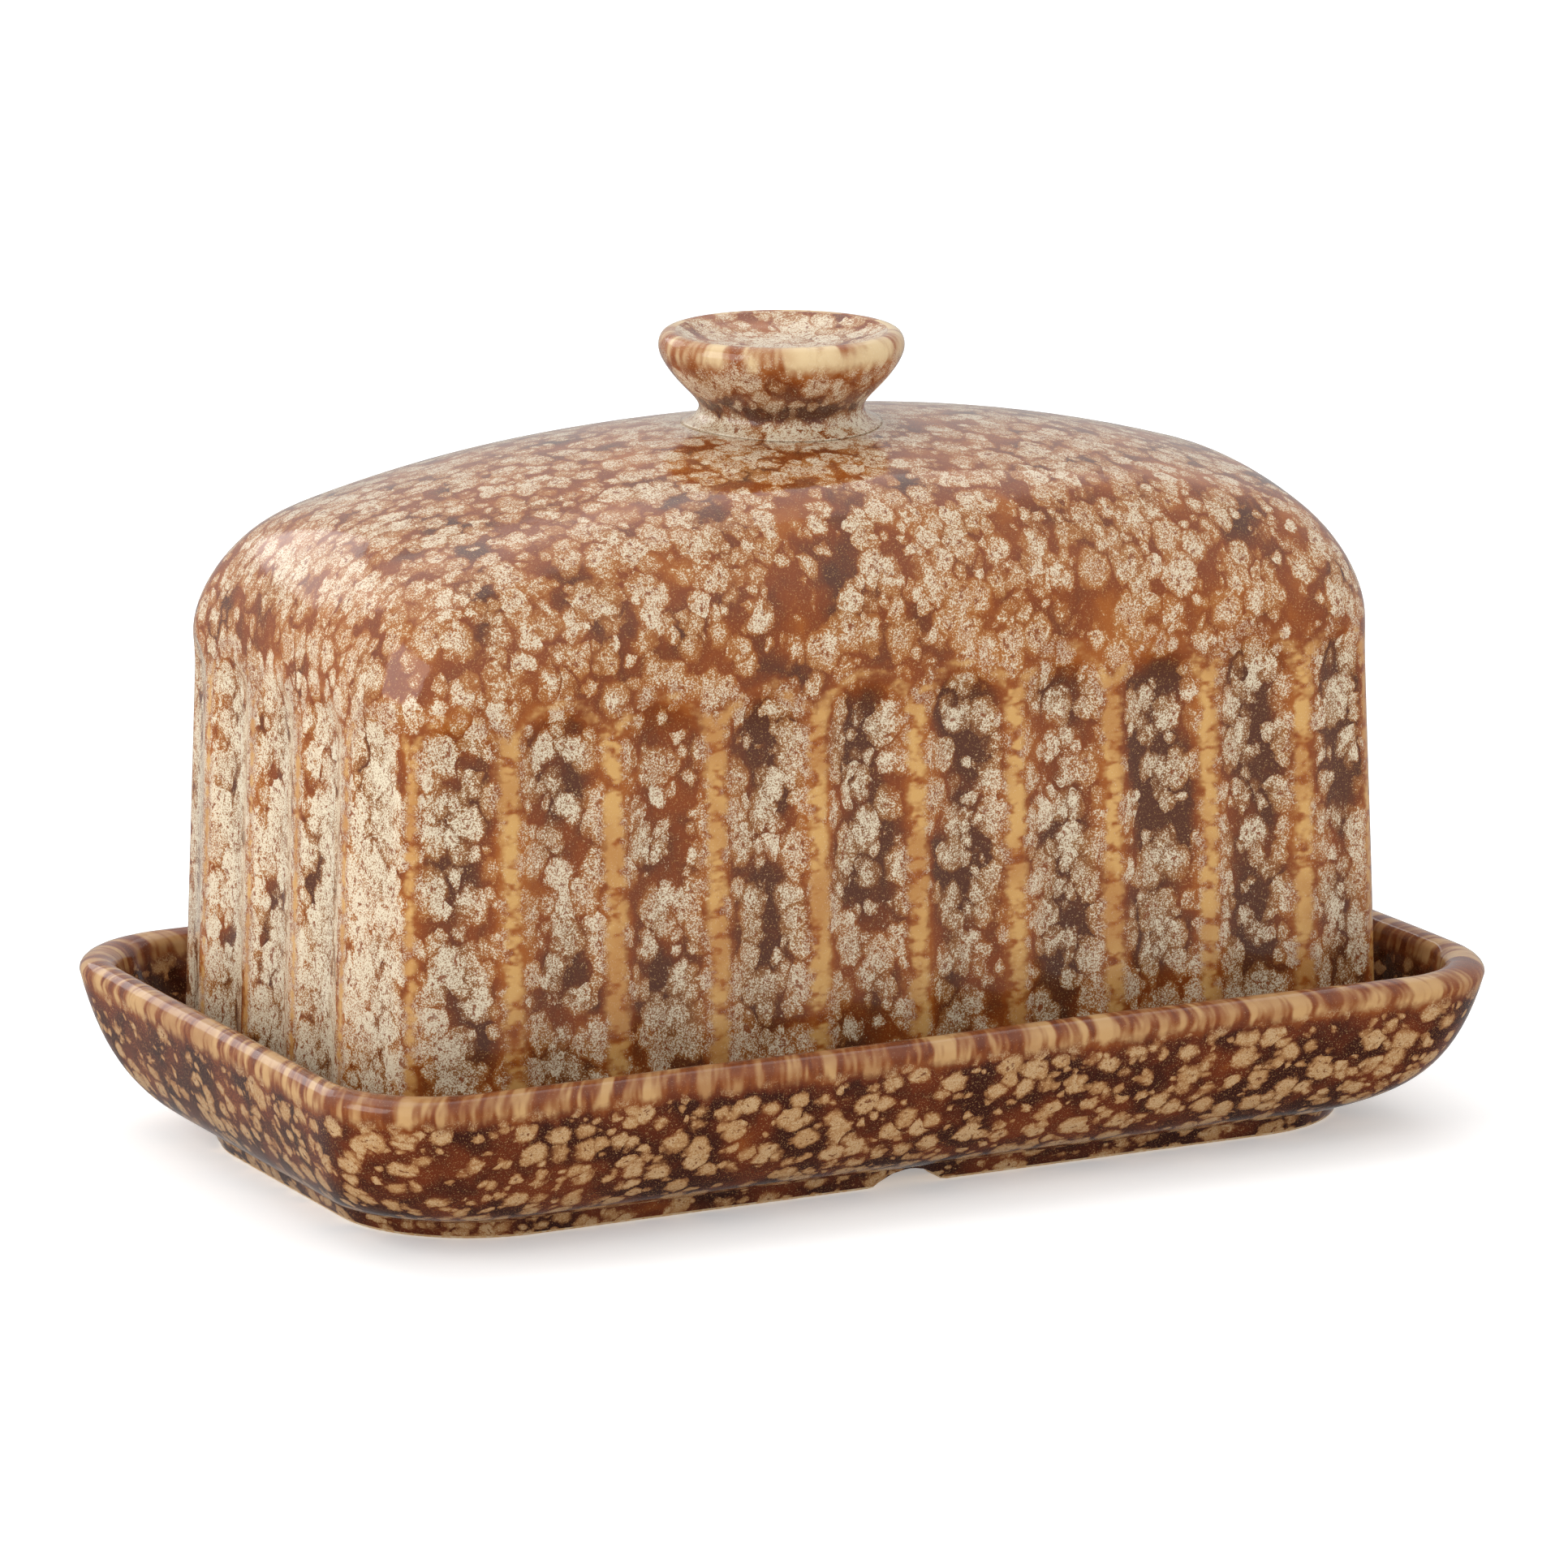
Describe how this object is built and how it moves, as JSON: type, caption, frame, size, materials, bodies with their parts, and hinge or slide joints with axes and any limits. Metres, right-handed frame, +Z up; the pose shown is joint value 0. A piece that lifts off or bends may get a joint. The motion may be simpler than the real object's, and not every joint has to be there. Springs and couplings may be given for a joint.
{
  "type": "covered butter dish",
  "caption": "Rectangular covered butter dish in mottled brown glazed stoneware: a flared tray on a foot ring, and a fluted lift-off cover with a round knob.",
  "frame": {"origin": "under the middle of the tray, on the surface that the dish stands on", "axes": "+Z up, +X along the dish's long side, -Y towards one of its two long faces"},
  "size_m": [0.2, 0.122, 0.1275],
  "materials": {
    "tray_glaze": "gloss",
    "cover_glaze": "gloss",
    "knob_glaze": "gloss"
  },
  "bodies": {
    "tray": {"tray": "tray_glaze"},
    "cover": {"cover": "cover_glaze", "knob": "knob_glaze"}
  },
  "joints": [
    {"name": "cover_lift", "type": "slide", "parent": "tray", "child": "cover", "axis": [0, 0, 1], "range_m": [0, 0.12]}
  ]
}
